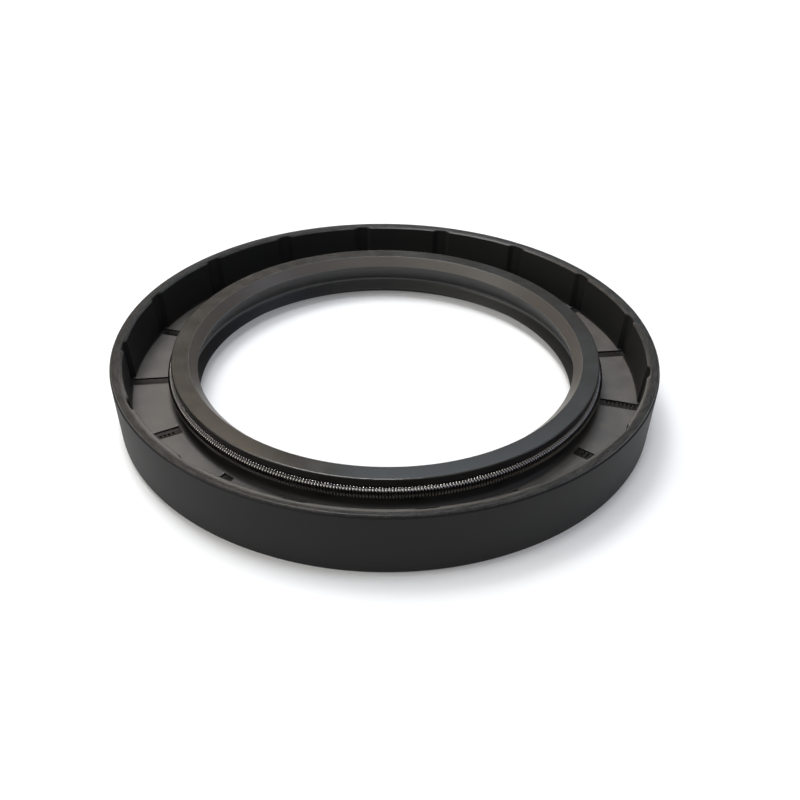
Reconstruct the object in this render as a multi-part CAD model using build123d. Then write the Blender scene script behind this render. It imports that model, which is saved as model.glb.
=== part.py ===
from build123d import *
from math import radians, tan
import os

# A rubber-covered radial shaft seal with a spring-loaded sealing lip and a dust lip.
# Millimetres. The axis is Z and the origin is the centre of the air-side face, on which the
# ring stands. The side with the spring, which faces the oil, is up.

# --- What the seal fits ----------------------------------------------------------------
shaft_diameter = 72.0
housing_bore = 100.0
seal_width = 12.0
housing_press = 0.30  # the cover is this much larger than the bore, on the diameter
sealing_preload = 1.20  # the free sealing edge is this much smaller than the shaft
dust_preload = 0.45  # and the dust lip's edge this much

# --- Steel case: an L-shaped ring pressed from sheet, bonded inside the rubber -------------
case_thickness = 0.90
case_hole_setback = 1.15  # the case's hole stands this far outside the lip's flank
cover_outside = 0.65  # rubber between the case and the housing
cover_inside = 0.60  # rubber on the inner face of the case, at the rim's top
cover_below = 1.00
cover_above = 1.75  # rubber over the case on the web
cover_top = 1.00

# --- Rim -----------------------------------------------------------------------------
rim_draft_angle = 2.6  # of the rim's inner wall, from the axis
crown_width = 1.20  # of the slope at the inner edge of the rim's top
crown_fall = 0.50
back_chamfer_width = 0.80
back_chamfer_height = 1.00
front_chamfer_width = 0.30
front_chamfer_height = 0.50

# --- Sealing lip ------------------------------------------------------------------------
sealing_edge_height = 7.87
sealing_land = 0.20  # height of the flat that the edge is trimmed to
mouth_width = 1.40  # of the cone on the oil side
mouth_rise = 1.68
lip_top_rise = 0.15  # the lip's top is this much higher at the hook than at the mouth
air_side_angle = 27.0  # of the cone on the air side, from the axis
flank_fillet = 1.80

# --- Garter spring and its seat -----------------------------------------------------------
coil_diameter = 2.50
spring_setback = 0.77  # the spring lies this far on the air side of the sealing edge
spring_seat_wall = 2.85  # rubber between the sealing edge and the groove
spring_clearance = 0.05  # round the coil in its groove
hook_overhang = 0.40  # the hook reaches this far outside the coil's centre
flank_overhang = 0.10  # and the flank below the coil this far

# --- Dust lip ------------------------------------------------------------------------------
dust_edge_height = 1.85
dust_land = 0.20
dust_upper_angle = 45.0  # of the face towards the sealing lip, from the axis
dust_under_angle = 24.5  # of the face towards the air, from the web's plane
recess_width = 1.80  # of the hollow on the air side of the dust lip
recess_flare = 0.75  # its mouth is this much wider

# --- Marks left by the support ribs that hold the case in the mould --------------------------
mark_count = 16
slot_width = 2.20
slot_depth = 0.34
slot_setback = 1.35  # a slot in the web starts this far outside the lip's flank
notch_skin = 0.18  # rubber left on the case behind a notch in the rim's wall
notch_mouth_width = 3.90

# --- Flats that stand for round stretches of a section, so that the rings stay light ----------
flat_length = 1.20  # on a rounded corner, about this
coil_flat_count = 6  # round the spring's section

# --- Radii and heights that follow -----------------------------------------------------------
outer_radius = (housing_bore + housing_press) / 2
case_outer_radius = outer_radius - cover_outside
case_inner_radius = case_outer_radius - case_thickness
case_floor_height = cover_below + case_thickness
case_top_height = seal_width - cover_top

web_height = case_floor_height + cover_above
rim_radius = case_inner_radius - cover_inside
rim_wall_top_height = seal_width - crown_fall
rim_foot_radius = rim_radius - (rim_wall_top_height - web_height) * tan(radians(rim_draft_angle))

lip_radius = (shaft_diameter - sealing_preload) / 2
land_top_height = sealing_edge_height + sealing_land / 2
land_foot_height = sealing_edge_height - sealing_land / 2
mouth_radius = lip_radius + mouth_width
mouth_height = land_top_height + mouth_rise
hook_height = mouth_height + lip_top_rise

coil_radius = coil_diameter / 2
groove_radius = coil_radius + spring_clearance
spring_radius = lip_radius + spring_seat_wall + groove_radius
spring_height = sealing_edge_height - spring_setback
hook_radius = spring_radius + hook_overhang
flank_radius = spring_radius + flank_overhang
case_hole_radius = flank_radius + case_hole_setback

dust_radius = (shaft_diameter - dust_preload) / 2
dust_top_height = dust_edge_height + dust_land / 2
dust_foot_height = dust_edge_height - dust_land / 2
recess_radius = dust_radius + recess_width
recess_height = dust_foot_height + recess_width * tan(radians(dust_under_angle))

# The sealing lip's air-side cone and the dust lip's upper face widen towards each other and
# meet between the lips.
air_side_slope = tan(radians(air_side_angle))
dust_slope = tan(radians(dust_upper_angle))
cone_start = lip_radius + land_foot_height * air_side_slope
dust_start = dust_radius - dust_top_height * dust_slope
between_lips_height = (cone_start - dust_start) / (air_side_slope + dust_slope)
between_lips_radius = dust_start + between_lips_height * dust_slope

slot_start_radius = flank_radius + slot_setback
slot_floor_height = web_height - slot_depth
notch_root_radius = case_inner_radius - notch_skin
notch_depth = notch_root_radius - rim_radius
notch_bevel = (notch_mouth_width - slot_width) / 2 / notch_depth


def flat_points(edge):
    """Points along an edge of an outline, its start among them: one on a straight edge."""
    count = 1
    if edge.geom_type == GeomType.CIRCLE:
        count = max(1, round(edge.length / flat_length))
    return [edge @ (step / count) for step in range(count)]


def section(corners):
    """A face in the XZ plane from (radius, height, corner rounding) in order round it."""
    points = [(radius, 0, height) for radius, height, rounding in corners]
    roundings = [rounding for radius, height, rounding in corners]
    outline = Wire(FilletPolyline(points, radius=roundings, close=True).edges())
    flats = [point for edge in outline.order_edges() for point in flat_points(edge)]
    return make_face(Polyline(flats, close=True))


def coil_section(radius):
    """The section of the spring, or of the groove round it, about the coil's centre."""
    centre = Plane.XZ * Pos(spring_radius, spring_height)
    return centre * RegularPolygon(radius, coil_flat_count)


def ring(face):
    return revolve(face, axis=Axis.Z)


def seal_section():
    rim = [
        (outer_radius - back_chamfer_width, 0, 0),
        (outer_radius, back_chamfer_height, 0),
        (outer_radius, seal_width - front_chamfer_height, 0),
        (outer_radius - front_chamfer_width, seal_width, 0),
        (rim_radius + crown_width, seal_width, 0),
        (rim_radius, rim_wall_top_height, 0),
        (rim_foot_radius, web_height, 0),
    ]
    # The flank steps out to the hook behind the spring's groove, which is cut over the step.
    sealing_lip = [
        (flank_radius, web_height, flank_fillet),
        (flank_radius, spring_height, 0),
        (hook_radius, spring_height, 0),
        (hook_radius, hook_height, 0),
        (mouth_radius, mouth_height, 0),
        (lip_radius, land_top_height, 0),
        (lip_radius, land_foot_height, 0),
        (between_lips_radius, between_lips_height, 0),
    ]
    dust_lip = [
        (dust_radius, dust_top_height, 0),
        (dust_radius, dust_foot_height, 0),
        (recess_radius, recess_height, 0),
        (recess_radius + recess_flare, 0, 0),
    ]
    return section(rim + sealing_lip + dust_lip) - coil_section(groove_radius)


def support_mark():
    """A slot along the web that turns up the rim's wall as a notch with bevelled sides."""
    slot = Pos(slot_start_radius, 0, slot_floor_height) * Box(
        notch_root_radius - slot_start_radius,
        slot_width,
        slot_depth + flank_fillet,
        align=(Align.MIN, Align.CENTER, Align.MIN),
    )
    # The notch's sides run on past the rim's wall, which its draft brings inwards at its foot.
    clear_radius = rim_foot_radius - notch_depth
    clear_width = slot_width + 2 * notch_bevel * (notch_root_radius - clear_radius)
    plan = Polyline(
        (notch_root_radius, slot_width / 2),
        (clear_radius, clear_width / 2),
        (clear_radius, -clear_width / 2),
        (notch_root_radius, -slot_width / 2),
        close=True,
    )
    notch = extrude(Pos(0, 0, web_height) * make_face(plan), amount=seal_width - web_height)
    return slot + notch


def metal_case():
    return ring(
        section(
            [
                (case_hole_radius, cover_below, 0),
                (case_outer_radius, cover_below, 0),
                (case_outer_radius, case_top_height, 0),
                (case_inner_radius, case_top_height, 0),
                (case_inner_radius, case_floor_height, 0),
                (case_hole_radius, case_floor_height, 0),
            ]
        )
    )


def seal_body(case):
    """The rubber moulding, with the hollow that the case fills exactly."""
    body = ring(seal_section())
    body -= [place * support_mark() for place in PolarLocations(0, mark_count)]
    return body - case


def garter_spring():
    """The closed coil spring as the plain ring that its turns fill."""
    return ring(coil_section(coil_radius))


os.makedirs("parts", exist_ok=True)
case = metal_case()
export_step(seal_body(case), "parts/seal_body.step")
export_step(case, "parts/metal_case.step")
export_step(garter_spring(), "parts/garter_spring.step")
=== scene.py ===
import math

import bmesh
import bpy
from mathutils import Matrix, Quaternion, Vector


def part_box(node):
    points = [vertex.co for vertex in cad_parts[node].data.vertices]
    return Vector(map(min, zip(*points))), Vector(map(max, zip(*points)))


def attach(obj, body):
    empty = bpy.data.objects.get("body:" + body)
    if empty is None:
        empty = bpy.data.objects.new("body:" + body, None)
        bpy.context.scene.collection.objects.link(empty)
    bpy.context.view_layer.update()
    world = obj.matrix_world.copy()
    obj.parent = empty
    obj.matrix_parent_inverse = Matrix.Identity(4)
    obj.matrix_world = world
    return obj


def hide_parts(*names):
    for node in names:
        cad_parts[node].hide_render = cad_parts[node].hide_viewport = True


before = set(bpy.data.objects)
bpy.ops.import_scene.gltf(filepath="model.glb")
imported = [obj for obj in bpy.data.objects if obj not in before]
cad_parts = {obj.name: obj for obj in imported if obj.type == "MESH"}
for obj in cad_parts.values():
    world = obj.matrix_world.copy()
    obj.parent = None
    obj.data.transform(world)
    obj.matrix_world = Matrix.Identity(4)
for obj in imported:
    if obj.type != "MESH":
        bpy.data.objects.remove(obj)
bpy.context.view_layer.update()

# --- Camera ----------------------------------------------------------------------------------
# A 35 mm lens, held a hand's width above the table and close to the ring, looks down across
# it, so that the spring shows on the near side.
MM = 0.001
camera_place = Vector((-15.817, -127.717, 88.479)) * MM
camera_target = Vector((1.931, -6.213, 0.0)) * MM
camera_roll = Quaternion((0, 0, 1), math.radians(1.195))

camera_data = bpy.data.cameras.new("camera")
camera_data.lens = 35.508
camera_data.clip_start = 5 * MM
camera = bpy.data.objects.new("camera", camera_data)
bpy.context.scene.collection.objects.link(camera)
camera.location = camera_place
camera.rotation_mode = "QUATERNION"
camera.rotation_quaternion = (camera_target - camera_place).to_track_quat("-Z", "Y") @ camera_roll
bpy.context.scene.camera = camera

# --- Rubber moulding -------------------------------------------------------------------------
# The body of the seal: nitrile rubber cured in one shot round the steel case. It is the
# cover on the housing side, the web, the sealing lip with its spring groove and the dust lip.
# The mould's sixteen support ribs held the case and left slots in the web and the rim.
body_low, body_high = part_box("seal_body")
outer_radius = body_high.x
seal_width = body_high.z
back_chamfer_width = 0.80 * MM
back_chamfer_height = 1.00 * MM
parting_line_drop = 0.50 * MM  # the mould's halves met this far below the rim's top
parting_step = 0.28 * MM
parting_step_drop = 0.32 * MM
front_step = 0.30 * MM
rim_crown_radius = 48.87 * MM
rim_crown_rounding = 3.10 * MM
rim_radius = 48.0 * MM
rim_wall_top = 11.5 * MM
rim_foot_radius = 47.644 * MM
foot_rounding = 0.15 * MM

# The web, round which runs the faint line where two rings of the mould met.
web_height = 3.65 * MM
web_middle = 44.0 * MM
line_outside = (45.46 * MM, 45.35 * MM)
line_inside = (45.29 * MM, 45.18 * MM)
line_depth = 0.02 * MM

# The sealing lip, from its flank behind the spring over the hook to its edge.
flank_radius = 39.65 * MM
flank_rounding = 1.80 * MM
hook_radius = 39.95 * MM
hook_height = 9.80 * MM
mouth_radius = 36.80 * MM
mouth_height = 9.65 * MM
lip_radius = 35.40 * MM
lip_edge_height = 7.87 * MM
land = 0.04 * MM  # half the height of the flat on each lip's edge
spring_radius = 39.55 * MM
spring_height = 7.10 * MM
groove_radius = 1.30 * MM

# The dust lip, between the throat that parts it from the sealing lip and its own hollow.
throat_radius = 37.50 * MM
throat_height = 3.67 * MM
dust_radius = 35.775 * MM
dust_edge_height = 1.85 * MM
hollow_roof_radius = 37.575 * MM
hollow_roof_height = 2.57 * MM
hollow_foot_radius = 38.325 * MM

# The room that the steel case fills.
case_inner_radius = 40.80 * MM
case_outer_radius = 49.50 * MM
case_foot = 1.00 * MM
case_top = 11.00 * MM
case_sheet = 0.90 * MM

mark_count = 16
mark_pitch = math.tau / mark_count
slot_start = 40.97 * MM
slot_half_width = 1.10 * MM
slot_floor = web_height - 0.34 * MM
notch_root = 48.50 * MM
notch_half_mouth = 1.95 * MM
notch_foot = web_height + 1.2 * foot_rounding
slot_edge_rounding = 0.04 * MM
groove_mouth_rounding = 0.07 * MM
hair = 0.02 * MM  # places nearer than this count as the same
slack = 0.001  # and turns round the axis nearer than this, in radians
CENTRE = (0.0, 0.0, 0.0)
AXIS = (0.0, 0.0, 1.0)


def add_vertex(radius, height):
    """Adds one selected vertex, from which a section is drawn, to the piece in edit mode."""
    bpy.ops.mesh.primitive_plane_add(size=MM)
    bpy.ops.mesh.merge(type="CENTER")
    bpy.ops.transform.translate(value=(radius, 0, height))
    return Vector((radius, height))


def draw_to(pen, place):
    """Extrudes the selected vertex in a straight line from pen to place."""
    step = place - pen
    bpy.ops.mesh.extrude_region_move(TRANSFORM_OT_translate={"value": (step.x, 0, step.y)})
    return place


def draw_through(pen, corners, after):
    """Draws through corners of (radius, height, rounding, steps) and stops short of after."""
    places = [pen] + [Vector(corner[:2]) for corner in corners] + [after]
    for index, (radius, height, rounding, steps) in enumerate(corners):
        corner = places[index + 1]
        back = (places[index] - corner).normalized()
        ahead = (places[index + 2] - corner).normalized()
        half_angle = back.angle(ahead) / 2
        reach = rounding / math.tan(half_angle)
        pen = draw_to(pen, corner + back * reach)
        if rounding:
            centre = corner + (back + ahead).normalized() * rounding / math.sin(half_angle)
            turn = math.copysign(math.pi - 2 * half_angle, ahead.cross(back))
            bpy.ops.mesh.spin(
                steps=steps, angle=turn, center=(centre.x, 0, centre.y), axis=(0, 1, 0)
            )
            pen = corner + ahead * reach
    return pen


def choose(piece, kind, wanted, crease=0, by_middle=False):
    """Selects the piece's vertices, or its edges or faces whose corners or middle are wanted.

    Where a crease is given, an edge's faces also turn by more than that angle."""
    bpy.ops.mesh.select_all(action="DESELECT")
    bpy.ops.mesh.select_mode(type=kind)
    mesh = bmesh.from_edit_mesh(piece.data)
    for item in {"VERT": mesh.verts, "EDGE": mesh.edges, "FACE": mesh.faces}[kind]:
        if crease and item.calc_face_angle(0) < crease:
            continue
        places = [item.co] if kind == "VERT" else [vertex.co for vertex in item.verts]
        if by_middle:
            places = [sum(places, Vector()) / len(places)]
        if all(wanted(place) for place in places):
            item.select_set(True)
    mesh.select_flush_mode()
    bmesh.update_edit_mesh(piece.data)


def turn_of(place):
    return math.atan2(place.y, place.x)


def radius_of(place):
    return math.hypot(place.x, place.y)


groove_rise = math.sqrt(groove_radius**2 - (hook_radius - spring_radius) ** 2)
groove_fall = math.sqrt(groove_radius**2 - (flank_radius - spring_radius) ** 2)
groove_top = Vector((hook_radius, spring_height + groove_rise))
groove_foot = Vector((flank_radius, spring_height - groove_fall))
groove_sweep = math.tau - (
    math.atan2(groove_rise, hook_radius - spring_radius)
    + math.atan2(groove_fall, flank_radius - spring_radius)
)
cover_and_web = [
    (outer_radius - back_chamfer_width, 0, 0.15 * MM, 2),
    (outer_radius, back_chamfer_height, 0.30 * MM, 3),
    (outer_radius, seal_width - parting_line_drop, 0.08 * MM, 2),
    (outer_radius - parting_step, seal_width - parting_step_drop, 0.04 * MM, 1),
    (outer_radius - front_step, seal_width, 0.10 * MM, 2),
    (rim_crown_radius, seal_width, rim_crown_rounding, 9),
    (rim_radius, rim_wall_top, 0.15 * MM, 3),
    (rim_foot_radius, web_height, foot_rounding, 3),
    (line_outside[0], web_height, 0, 0),
    (line_outside[1], web_height - line_depth, 0, 0),
    (line_inside[0], web_height - line_depth, 0, 0),
    (line_inside[1], web_height, 0, 0),
    (flank_radius, web_height, flank_rounding, 12),
]
lips = [
    (hook_radius, hook_height, 0.25 * MM, 4),
    (mouth_radius, mouth_height, 0.15 * MM, 3),
    (lip_radius, lip_edge_height + land, 0.04 * MM, 1),
    (lip_radius, lip_edge_height - land, 0.04 * MM, 1),
    (throat_radius, throat_height, 0.80 * MM, 6),
    (dust_radius, dust_edge_height + land, 0.05 * MM, 1),
    (dust_radius, dust_edge_height - land, 0.05 * MM, 1),
    (hollow_roof_radius, hollow_roof_height, 0.35 * MM, 3),
    (hollow_foot_radius, 0, 0.25 * MM, 3),
]
case_section = [
    (case_inner_radius, case_foot),
    (case_outer_radius, case_foot),
    (case_outer_radius, case_top),
    (case_outer_radius - case_sheet, case_top),
    (case_outer_radius - case_sheet, case_foot + case_sheet),
    (case_inner_radius, case_foot + case_sheet),
]

bpy.ops.object.select_all(action="DESELECT")
bpy.ops.mesh.primitive_plane_add(size=MM)
rubber = bpy.context.object
rubber.name = "rubber_moulding"
bpy.ops.object.mode_set(mode="EDIT")
bpy.ops.mesh.delete(type="VERT")
underside = Vector((web_middle, 0))
pen = draw_through(add_vertex(*underside), cover_and_web, groove_foot)
draw_to(pen, groove_foot)
bpy.ops.mesh.spin(
    steps=14, angle=-groove_sweep, center=(spring_radius, 0, spring_height), axis=(0, 1, 0)
)
draw_to(draw_through(groove_top, lips, underside), underside)
pen = add_vertex(*case_section[0])
for corner in case_section[1:] + case_section[:1]:
    pen = draw_to(pen, Vector(corner))
bpy.ops.mesh.select_all(action="SELECT")
bpy.ops.mesh.remove_doubles(threshold=1e-7)

# Half of one mark's sector is spun from the section, and the mark is pressed into it: a slot
# along the web that turns up the rim as a notch with sloping sides.
slot_turn = math.asin(slot_half_width / notch_root)
mouth_turn = math.asin(notch_half_mouth / rim_radius)
for turn, steps in ((slot_turn, 1), (mouth_turn - slot_turn, 1), (mark_pitch / 2 - mouth_turn, 9)):
    bpy.ops.mesh.spin(steps=steps, angle=-turn, center=CENTRE, axis=AXIS)


def under_rib(place):
    """Whether a place lies under the support rib, on the web or on the rim's wall."""
    along = slot_start < place.x < notch_root + hair
    across = turn_of(place) < (slot_turn + mouth_turn) / 2
    return along and across and place.z > web_height - 5 * hair


def near_slot_floor(place):
    """Whether a place is on the slot's floor, also where the web's line dips under it."""
    inside = slot_start < place.x < rim_radius and place.y < slot_half_width + hair
    return inside and abs(place.z - slot_floor) < 4 * hair


def on_mark(place):
    """Whether a place is on the slot or the notch, their edges included."""
    across = turn_of(place) < mouth_turn + slack
    along = slot_start - hair < radius_of(place) < notch_root + 2 * hair
    return across and along and place.z > slot_floor - hair


choose(rubber, "VERT", lambda place: under_rib(place) and place.y > slot_half_width / 2)
bpy.ops.transform.resize(value=(1, 0, 1), center_override=(0, slot_half_width, 0))
choose(rubber, "VERT", lambda place: under_rib(place) and place.z > notch_foot)
bpy.ops.transform.resize(value=(0, 1, 1), center_override=(notch_root, 0, 0))
choose(
    rubber,
    "VERT",
    lambda place: under_rib(place)
    and place.x > rim_foot_radius - 2 * foot_rounding
    and place.z < notch_foot,
)
bpy.ops.transform.translate(value=(notch_root - rim_foot_radius, 0, 0))
choose(
    rubber,
    "FACE",
    lambda place: under_rib(place)
    and place.y < slot_half_width + hair
    and place.z < notch_foot + hair,
)
bpy.ops.mesh.extrude_region_move(
    TRANSFORM_OT_translate={"value": (0, 0, slot_floor - web_height)}
)
choose(rubber, "VERT", near_slot_floor)
bpy.ops.transform.resize(value=(1, 1, 0), center_override=(0, 0, slot_floor))
choose(rubber, "FACE", lambda place: abs(place.y) < hair)
bpy.ops.mesh.delete(type="ONLY_FACE")
bpy.ops.mesh.select_all(action="SELECT")
bpy.ops.mesh.delete_loose(use_verts=True, use_edges=True, use_faces=False)
choose(rubber, "EDGE", on_mark, crease=math.radians(20))
bpy.ops.mesh.bevel(offset=slot_edge_rounding, segments=2, profile=0.5, affect="EDGES")
groove_mouths = (groove_top, groove_foot)
choose(
    rubber,
    "EDGE",
    lambda place: any(
        (Vector((radius_of(place), place.z)) - mouth).length < hair / 4 for mouth in groove_mouths
    ),
)
bpy.ops.mesh.bevel(offset=groove_mouth_rounding, segments=2, profile=0.5, affect="EDGES")
bpy.ops.object.mode_set(mode="OBJECT")

# The half is mirrored, and the sector is turned round the ring and joined to itself.
mirror = rubber.modifiers.new("other_half", "MIRROR")
mirror.use_axis = (False, True, False)
mirror.merge_threshold = 1e-6
bpy.ops.object.modifier_apply(modifier=mirror.name)
bpy.ops.object.mode_set(mode="EDIT")

# The support ribs are serrated along one side, and leave a comb of small pits in the slot's
# floor, next to its wall.
pit_pitch = 0.72 * MM
pit_width = 0.40 * MM
pit_depth = 0.28 * MM
pit_side = -0.30 * MM  # the pits reach from here to the slot's wall
pit_edge_width = 0.03 * MM
first_pit = 42.10 * MM
pit_count = 8
pit_starts = [first_pit + index * pit_pitch for index in range(pit_count)]


def on_floor(place):
    inside = slot_start < place.x < notch_root and abs(place.y) < 0.98 * slot_half_width
    return inside and abs(place.z - slot_floor) < hair / 4


def on_pit(place):
    within = pit_side < place.y < 0.8 * slot_half_width
    return within and any(start < place.x < start + pit_width for start in pit_starts)


cuts = [(start + side, 0) for start in pit_starts for side in (0, pit_width)]
for along, across in cuts + [(0, pit_side)]:
    choose(rubber, "FACE", on_floor)
    bpy.ops.mesh.bisect(
        plane_co=(along, across, 0), plane_no=(1, 0, 0) if along else (0, 1, 0)
    )
choose(rubber, "FACE", lambda place: on_floor(place) and on_pit(place), by_middle=True)
bpy.ops.mesh.inset(thickness=pit_edge_width, use_even_offset=True)
bpy.ops.mesh.extrude_region_move(TRANSFORM_OT_translate={"value": (0, 0, -pit_depth)})
choose(
    rubber,
    "EDGE",
    lambda place: on_floor(place) and place.y > pit_side,
    crease=math.radians(40),
)
bpy.ops.mesh.bevel(offset=slot_edge_rounding, segments=2, profile=0.5, affect="EDGES")
bpy.ops.mesh.select_all(action="SELECT")
bpy.ops.mesh.spin(
    steps=mark_count - 1, dupli=True, angle=math.tau - mark_pitch, center=CENTRE, axis=AXIS
)

# Two ribs, opposite each other, are plain: there the pits go flat into the floor.
choose(
    rubber,
    "VERT",
    lambda place: abs(place.y) < slot_half_width - hair
    and slot_start < abs(place.x) < notch_root
    and slot_floor - pit_depth - hair < place.z < slot_floor - hair / 4,
)
bpy.ops.transform.resize(value=(1, 1, 0), center_override=(0, 0, slot_floor))
bpy.ops.mesh.select_all(action="SELECT")
bpy.ops.mesh.remove_doubles(threshold=2e-6)
bpy.ops.mesh.normals_make_consistent(inside=False)

# The rubber's faces round the case look into the room that the case fills.
choose(
    rubber,
    "FACE",
    lambda place: any(
        (Vector((radius_of(place), place.z)) - Vector(corner)).length < 2 * hair
        for corner in case_section
    ),
)
bpy.ops.mesh.flip_normals()
bpy.ops.object.mode_set(mode="OBJECT")
bpy.ops.object.shade_smooth_by_angle(angle=math.radians(30))
flat_faces = rubber.modifiers.new("flat_faces", "WEIGHTED_NORMAL")
flat_faces.keep_sharp = True
bpy.ops.object.modifier_apply(modifier=flat_faces.name)

# Black nitrile rubber, cured against steel. The lip's top was polished in the mould and is
# nearly black with a wet-looking sheen, and its flank and air side are satin. On the web the
# mould was spark-eroded, and its fine pits scatter light to a dull grey. The slots' floors are
# rough and dark. The rim's top was trimmed and is a grainy dark grey. The lip's cone is an even,
# lighter grey-brown: a painted highlight that stands in for the broad warm reflection it catches.
# The lip's top is painted a little lighter as part of the same painted highlight. The flank and
# the channel behind the lip are painted lighter, as fill light where the lip and rim keep light
# from them. Bloom has dried on all of it in faint clouds.


def linear(hex_colour):
    """Turns an sRGB hex colour into the linear colour that a shader takes."""
    channels = [int(hex_colour[index : index + 2], 16) / 255 for index in (1, 3, 5)]
    return tuple(
        value / 12.92 if value <= 0.04045 else ((value + 0.055) / 1.055) ** 2.4
        for value in channels
    ) + (1.0,)


def add_node(tree, kind, attributes={}, inputs={}):
    """Adds a node, sets its attributes, and gives each input its value or its link."""
    node = tree.nodes.new(kind)
    for name, value in attributes.items():
        setattr(node, name, value)
    for name, value in inputs.items():
        if isinstance(value, bpy.types.NodeSocket):
            tree.links.new(value, node.inputs[name])
        else:
            node.inputs[name].default_value = value
    return node


def new_material(name):
    """Starts a material with a Principled shader, and gives its tree and that shader."""
    material = bpy.data.materials.new(name)
    material.use_nodes = True
    return material, material.node_tree, material.node_tree.nodes["Principled BSDF"]


nitrile, tree, skin = new_material("moulded_nitrile_rubber")
place = add_node(tree, "ShaderNodeTexCoord").outputs["Object"]
axes = add_node(tree, "ShaderNodeSeparateXYZ", inputs={"Vector": place}).outputs
height = axes["Z"]
flat_place = add_node(tree, "ShaderNodeCombineXYZ", inputs={"X": axes["X"], "Y": axes["Y"]})
radius = add_node(
    tree,
    "ShaderNodeVectorMath",
    {"operation": "LENGTH"},
    {0: flat_place.outputs["Vector"]},
).outputs["Value"]

# The trimming knife ran round the ring, so its streaks are about seven times as long as wide.
streak_stretch = 0.15
only_radius = add_node(tree, "ShaderNodeCombineXYZ", inputs={"Z": radius})
along_ring = add_node(
    tree,
    "ShaderNodeVectorMath",
    {"operation": "MULTIPLY_ADD"},
    {0: place, 1: (streak_stretch, streak_stretch, 0), 2: only_radius.outputs["Vector"]},
).outputs["Vector"]

# Each grain has the width of its blotches and how much finer detail it has. The spark pits
# are drawn at 0.16 mm. The real ones are about 0.04 mm and would be too fine to show.
grains = {}
for name, width, detail, vector in (
    ("bloom", 4.0 * MM, 5.0, place),
    ("spark_pits", 0.16 * MM, 3.0, place),
    ("slot_floor", 0.30 * MM, 4.0, place),
    ("knife_tears", 0.22 * MM, 4.0, place),
    ("knife_streaks", 0.35 * MM, 3.0, along_ring),
):
    grains[name] = add_node(
        tree,
        "ShaderNodeTexNoise",
        inputs={"Vector": vector, "Scale": 1 / width, "Detail": detail, "Roughness": 0.6},
    ).outputs["Fac"]
# A Mix node takes numbers in its inputs 2 and 3, and colours in its inputs 6 and 7.
grains["trimmed"] = add_node(
    tree,
    "ShaderNodeMix",
    {"data_type": "FLOAT"},
    {0: 0.5, 2: grains["knife_tears"], 3: grains["knife_streaks"]},
).outputs[0]

# A mask is 1 where each of its values is past its second limit, and 0 where one is short of
# its first.
limits = {
    "bloom": [(grains["bloom"], 0.35, 0.70)],
    "floor_grit": [(grains["slot_floor"], 0.40, 0.62)],
    "torn": [(grains["trimmed"], 0.38, 0.62)],
    # Painted fill light: beyond the lip the rubber is coloured lighter, standing in for light that
    # the lip and rim keep out.
    "painted_fill_behind_lip": [(radius, 38.60 * MM, 38.70 * MM)],
    "web": [
        (radius, 39.8 * MM, 41.4 * MM),
        (radius, 47.70 * MM, 47.60 * MM),
        (height, 9.75 * MM, 9.50 * MM),
        (height, web_height - 0.12 * MM, web_height - 0.05 * MM),
    ],
    "slot": [
        (height, slot_floor - 0.4 * MM, slot_floor - 0.3 * MM),
        (height, web_height - 0.05 * MM, web_height - 0.15 * MM),
        (radius, slot_start - 0.10 * MM, slot_start),
    ],
    "rim": [(radius, 47.60 * MM, 47.70 * MM)],
    "cover": [(radius, 49.0 * MM, 49.3 * MM)],
    "rim_top": [
        (height, rim_wall_top - 0.05 * MM, rim_wall_top + 0.02 * MM),
        (radius, outer_radius - 0.20 * MM, outer_radius - 0.30 * MM),
    ],
    # The lip top's mask, where nearly black rubber is painted a little lighter as a painted
    # highlight.
    "lip_top": [(height, 9.50 * MM, 9.58 * MM), (radius, 40.30 * MM, 40.20 * MM)],
    # The cone's mask, where the colour is painted lighter as a painted highlight.
    "cone": [(height, 7.7 * MM, 7.8 * MM), (radius, 37.0 * MM, 36.7 * MM)],
    "flank": [
        (radius, 38.60 * MM, 38.70 * MM),
        (radius, 41.5 * MM, 41.0 * MM),
        (height, 9.65 * MM, 9.50 * MM),
    ],
    "air_side": [(height, 7.85 * MM, 7.75 * MM), (radius, 38.35 * MM, 38.25 * MM)],
}
masks = {}
for name, steps in limits.items():
    mask = 1.0
    for value, start, end in steps:
        mask = add_node(
            tree,
            "ShaderNodeMapRange",
            {"interpolation_type": "SMOOTHSTEP"},
            {"Value": value, "From Min": start, "From Max": end, "To Max": mask},
        ).outputs["Result"]
    masks[name] = mask

colours = {}
for name, mask, first, second in (
    ("web", "bloom", "#54514e", "#5f5b57"),
    ("slot", "floor_grit", "#100f0e", "#34302c"),
    ("rim", "cover", "#202020", "#141414"),
    ("rim_top", "torn", "#1f1e1d", "#3e3c3a"),
):
    colours[name] = add_node(
        tree,
        "ShaderNodeMix",
        {"data_type": "RGBA"},
        {0: masks[mask], 6: linear(first), 7: linear(second)},
    ).outputs[2]
colour = linear("#151515")
for mask, finish in (
    ("bloom", linear("#1c1b1b")),
    # Painted fill light on the flank and channel behind the lip.
    ("painted_fill_behind_lip", linear("#201f1e")),
    ("web", colours["web"]),
    ("slot", colours["slot"]),
    ("rim", colours["rim"]),
    ("rim_top", colours["rim_top"]),
    # The lip's top: nearly black rubber, painted a little lighter as a painted highlight.
    ("lip_top", linear("#302e2b")),
    # Painted highlight: the cone is an even, lighter grey-brown for the broad warm reflection it
    # catches.
    ("cone", linear("#4d4843")),
):
    colour = add_node(
        tree, "ShaderNodeMix", {"data_type": "RGBA"}, {0: masks[mask], 6: colour, 7: finish}
    ).outputs[2]
tree.links.new(colour, skin.inputs["Base Color"])

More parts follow.
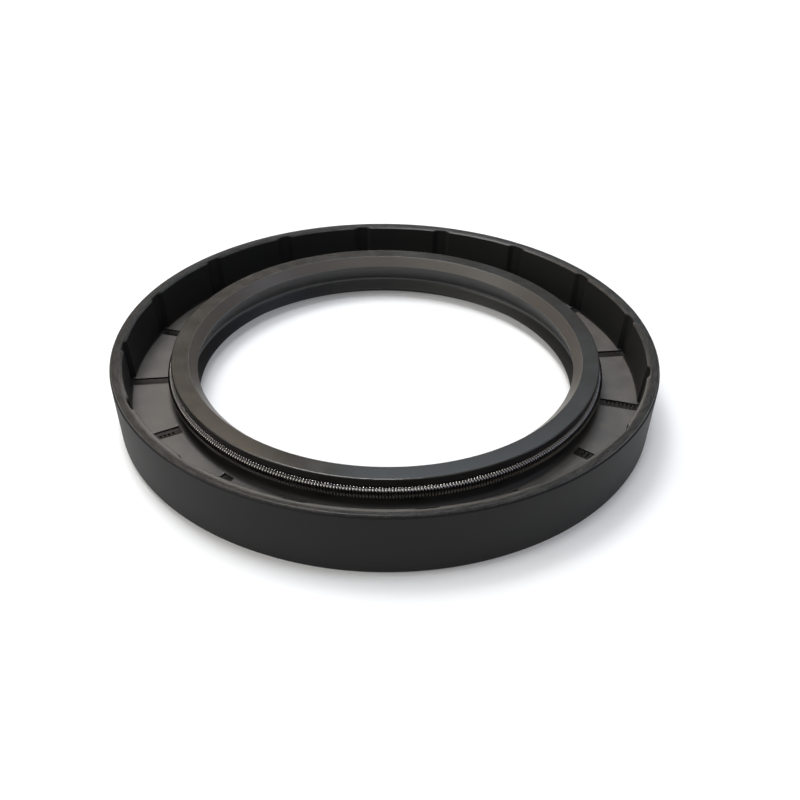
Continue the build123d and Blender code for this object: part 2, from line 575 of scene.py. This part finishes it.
web_roughness = add_node(
    tree, "ShaderNodeMix", {"data_type": "FLOAT"}, {0: masks["bloom"], 2: 0.46, 3: 0.54}
).outputs[0]
roughness = 0.18
for mask, finish in (
    ("bloom", 0.26),
    ("web", web_roughness),
    ("slot", 0.42),
    ("rim", 0.58),
    ("rim_top", 0.30),
    ("cone", 0.38),
    ("flank", 0.45),
    ("air_side", 0.42),
):
    roughness = add_node(
        tree, "ShaderNodeMix", {"data_type": "FLOAT"}, {0: masks[mask], 2: roughness, 3: finish}
    ).outputs[0]
tree.links.new(roughness, skin.inputs["Roughness"])

polish = 0.15  # how much of the spark pits' depth is left where the mould was polished
relief = add_node(
    tree, "ShaderNodeMath", {"operation": "MULTIPLY"}, {0: grains["spark_pits"], 1: polish}
).outputs["Value"]
for mask, grain, depth in (
    ("web", "spark_pits", 1.0),
    ("slot", "slot_floor", 2.0),
    ("rim", "spark_pits", 0.5),
    ("rim_top", "trimmed", 1.0),
):
    finish = add_node(
        tree, "ShaderNodeMath", {"operation": "MULTIPLY"}, {0: grains[grain], 1: depth}
    ).outputs["Value"]
    relief = add_node(
        tree, "ShaderNodeMix", {"data_type": "FLOAT"}, {0: masks[mask], 2: relief, 3: finish}
    ).outputs[0]
bump = add_node(
    tree,
    "ShaderNodeBump",
    inputs={"Height": relief, "Strength": 0.5, "Distance": 0.02 * MM},
)
tree.links.new(bump.outputs["Normal"], skin.inputs["Normal"])
skin.inputs["IOR"].default_value = 1.52
skin.inputs["Specular IOR Level"].default_value = 0.65
rubber.data.materials.append(nitrile)

# Round the rim, in the slots and on the underside the mould is finely blasted. Much of the
# light is lost between its grains, so these have only a third of the lip's sheen.
blasted_nitrile = nitrile.copy()
blasted_nitrile.name = "blasted_nitrile_rubber"
skin = blasted_nitrile.node_tree.nodes["Principled BSDF"]
skin.inputs["Specular IOR Level"].default_value = 0.20
rubber.data.materials.append(blasted_nitrile)
blasted_start = 47.3 * MM


def on_blasted(place):
    in_slot = radius_of(place) > slot_start and (
        slot_floor - 1.5 * pit_depth < place.z < web_height - slot_edge_rounding
    )
    return radius_of(place) > blasted_start or place.z < hair or in_slot


bpy.ops.object.mode_set(mode="EDIT")
choose(rubber, "FACE", on_blasted, by_middle=True)
rubber.active_material_index = 1
bpy.ops.object.material_slot_assign()
bpy.ops.object.mode_set(mode="OBJECT")

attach(rubber, "root")
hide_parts("seal_body")

# --- Garter spring ---------------------------------------------------------------------------
# A close-wound coil of thin spring steel wire whose ends are screwed into each other. It lies
# in the groove behind the sealing lip and keeps the lip's edge pressed on the shaft.
coil_diameter = 2.50 * MM
wire_diameter = 0.45 * MM
coil_turns = 508
coil_length = math.tau * spring_radius
wire_sides = 8
steps_a_turn = 22

bpy.ops.object.select_all(action="DESELECT")
bpy.ops.mesh.primitive_circle_add(
    vertices=wire_sides,
    radius=wire_diameter / 2,
    location=(-coil_length / 2, (coil_diameter - wire_diameter) / 2, 0),
)
spring = bpy.context.object
spring.name = "garter_coil"
bpy.ops.object.transform_apply(location=True, rotation=False, scale=False)
winding = spring.modifiers.new("winding", "SCREW")
winding.axis = "X"
winding.angle = math.tau
winding.screw_offset = coil_length / coil_turns
winding.iterations = coil_turns
winding.steps = steps_a_turn
winding.render_steps = steps_a_turn
bpy.ops.object.modifier_apply(modifier=winding.name)

# The straight coil is one wire longer than its turns, and bends by that much more than round.
bow = spring.modifiers.new("bow", "SIMPLE_DEFORM")
bow.deform_method = "BEND"
bow.deform_axis = "Z"
bow.angle = math.tau * (1 + wire_diameter / coil_length)
bpy.ops.object.modifier_apply(modifier=bow.name)
bpy.ops.object.mode_set(mode="EDIT")
bpy.ops.mesh.select_all(action="SELECT")
bpy.ops.transform.translate(value=(0, -spring_radius, spring_height))
bpy.ops.mesh.remove_doubles(threshold=2e-6)
bpy.ops.mesh.normals_make_consistent(inside=False)
bpy.ops.object.mode_set(mode="OBJECT")
bpy.ops.object.shade_smooth()

# Hard-drawn spring wire, bright from the die and oiled: a brownish steel grey. Patches less
# than a millimetre long are a little lighter and duller than the wire round them.
patch_length = 0.8 * MM
drawn_wire, tree, skin = new_material("hard_drawn_spring_wire")
place = add_node(tree, "ShaderNodeTexCoord").outputs["Object"]
patches = add_node(
    tree,
    "ShaderNodeTexNoise",
    inputs={"Vector": place, "Scale": 1 / patch_length, "Detail": 4.0, "Roughness": 0.6},
).outputs["Fac"]
colour = add_node(
    tree,
    "ShaderNodeMix",
    {"data_type": "RGBA"},
    {0: patches, 6: linear("#8e8b88"), 7: linear("#aaa7a3")},
).outputs[2]
tree.links.new(colour, skin.inputs["Base Color"])
skin.inputs["Metallic"].default_value = 1.0
roughness = add_node(
    tree,
    "ShaderNodeMapRange",
    inputs={"Value": patches, "From Min": 0.3, "From Max": 0.7, "To Min": 0.12, "To Max": 0.19},
).outputs["Result"]
tree.links.new(roughness, skin.inputs["Roughness"])
spring.data.materials.append(drawn_wire)

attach(spring, "root")
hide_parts("garter_spring")

# --- Steel case ------------------------------------------------------------------------------
# A ring with an L section, pressed from cold-rolled sheet, that stiffens the seal. The rubber
# covers it all round and bonds to it as it cures, so it shows nowhere.
case = bpy.data.objects["metal_case"]

# Zinc phosphate gives the steel a matt grey skin of fine crystals, which the rubber grips.
# They are drawn at 0.25 mm. The real ones are too fine to show.
crystal_width = 0.25 * MM
cold_rolled, tree, skin = new_material("phosphated_cold_rolled_steel")
place = add_node(tree, "ShaderNodeTexCoord").outputs["Object"]
crystals = add_node(
    tree,
    "ShaderNodeTexVoronoi",
    inputs={"Vector": place, "Scale": 1 / crystal_width},
).outputs["Distance"]
colour = add_node(
    tree,
    "ShaderNodeMix",
    {"data_type": "RGBA"},
    {0: crystals, 6: linear("#4b4c4d"), 7: linear("#6a6b6b")},
).outputs[2]
tree.links.new(colour, skin.inputs["Base Color"])
skin.inputs["Metallic"].default_value = 0.6
skin.inputs["Roughness"].default_value = 0.6
case.data.materials.clear()
case.data.materials.append(cold_rolled)

# --- Floor -----------------------------------------------------------------------------------
# A large sheet of white card that lies a hair under the ring, so that no face of the two is
# in one plane. It belongs to the studio and not to the seal.
card_size = 4.0
bpy.ops.object.select_all(action="DESELECT")
bpy.ops.mesh.primitive_plane_add(size=card_size, location=(0, 0, -hair))
bpy.ops.object.transform_apply(location=True, rotation=False, scale=False)
table = bpy.context.object
table.name = "table"

# Uncoated card is matt and nearly white. Where it is seen, also in a reflection, it is lifted
# to white, and shadows stay. The lift grows away from the ring, where the lamps reach less.
white_card, tree, skin = new_material("white_card")
skin.inputs["Base Color"].default_value = linear("#f2f2f2")
skin.inputs["Roughness"].default_value = 0.8
skin.inputs["Specular IOR Level"].default_value = 0.2
rays = add_node(tree, "ShaderNodeLightPath").outputs
seen = add_node(
    tree,
    "ShaderNodeMath",
    {"operation": "ADD", "use_clamp": True},
    {0: rays["Is Camera Ray"], 1: rays["Is Glossy Ray"]},
)
seen = add_node(
    tree,
    "ShaderNodeMath",
    {"operation": "ADD", "use_clamp": True},
    {0: seen.outputs["Value"], 1: rays["Is Transmission Ray"]},
)
place = add_node(tree, "ShaderNodeTexCoord").outputs["Object"]
distance = add_node(tree, "ShaderNodeVectorMath", {"operation": "LENGTH"}, {0: place})
brightness = add_node(
    tree,
    "ShaderNodeMapRange",
    {"interpolation_type": "SMOOTHSTEP"},
    {
        "Value": distance.outputs["Value"],
        "From Min": 200 * MM,
        "From Max": 900 * MM,
        "To Min": 0.16,
        "To Max": 1.0,
    },
)
lift = add_node(
    tree,
    "ShaderNodeMath",
    {"operation": "MULTIPLY"},
    {0: seen.outputs["Value"], 1: brightness.outputs["Result"]},
)
skin.inputs["Emission Color"].default_value = (1.0, 1.0, 1.0, 1.0)
tree.links.new(lift.outputs["Value"], skin.inputs["Emission Strength"])
table.data.materials.append(white_card)

# --- Surroundings and lamps ------------------------------------------------------------------
# The studio's walls are white up to just above the horizon and dim above that. Where the
# camera looks past the card it sees white everywhere.
scene = bpy.context.scene
scene.view_settings.view_transform = "Standard"
world = bpy.data.worlds.new("studio")
scene.world = world
world.use_nodes = True
tree = world.node_tree
backdrop = tree.nodes["Background"]
direction = add_node(tree, "ShaderNodeTexCoord").outputs["Generated"]
rise = add_node(tree, "ShaderNodeSeparateXYZ", inputs={"Vector": direction}).outputs["Z"]
wall = add_node(
    tree,
    "ShaderNodeMapRange",
    {"interpolation_type": "SMOOTHSTEP"},
    {"Value": rise, "From Min": 0.02, "From Max": 0.12, "To Min": 1.0, "To Max": 0.09},
)
rays = add_node(tree, "ShaderNodeLightPath").outputs
white = add_node(
    tree,
    "ShaderNodeMath",
    {"operation": "MAXIMUM"},
    {0: wall.outputs["Result"], 1: rays["Is Camera Ray"]},
)
backdrop.inputs["Color"].default_value = (1.0, 1.0, 1.0, 1.0)
tree.links.new(white.outputs["Value"], backdrop.inputs["Strength"])

# Low lamps graze the rim and the web, high ones light the walls, and the small ones overhead
# put a bright bead on each turn of the spring.


def soft_lamp(name, azimuth, elevation, size, radiance):
    """Adds a square lamp a metre away that faces the ring.

    Its angles are in degrees and its size in metres, and a radiance of 1 is white."""
    light = bpy.data.lights.new(name, "AREA")
    light.size = size
    light.color = radiance
    light.energy = math.pi * size**2
    lamp = bpy.data.objects.new(name, light)
    scene.collection.objects.link(lamp)
    level = math.cos(math.radians(elevation))
    lamp.location = (
        level * math.cos(math.radians(azimuth)),
        level * math.sin(math.radians(azimuth)),
        math.sin(math.radians(elevation)),
    )
    lamp.rotation_euler = (-lamp.location).to_track_quat("-Z", "Y").to_euler()


lamps = {
    "back_low": (90, 12, 0.34, (2.80, 2.65, 2.40)),
    "left_low": (180, 12, 0.34, (2.60, 2.50, 2.10)),
    "left": (195, 28, 0.40, (4.20, 4.10, 3.90)),
    "right": (345, 28, 0.40, (1.45, 1.65, 2.20)),
    "back_right_high": (72, 48, 0.42, (0.90, 1.10, 1.30)),
    "back_left_high": (108, 48, 0.42, (2.00, 1.65, 1.30)),
    "front_left_high": (234, 48, 0.42, (1.00, 0.97, 0.93)),
    "front_right_high": (288, 48, 0.42, (0.75, 0.75, 0.75)),
    "top_back": (120, 68, 0.24, (14.2, 14.3, 14.4)),
    "top_left": (150, 68, 0.24, (6.00, 6.00, 6.00)),
    "over_back": (120, 78, 0.22, (9.80, 10.1, 10.5)),
    "over": (0, 90, 0.16, (29.0, 29.6, 30.4)),
}
for name, values in lamps.items():
    soft_lamp(name, *values)
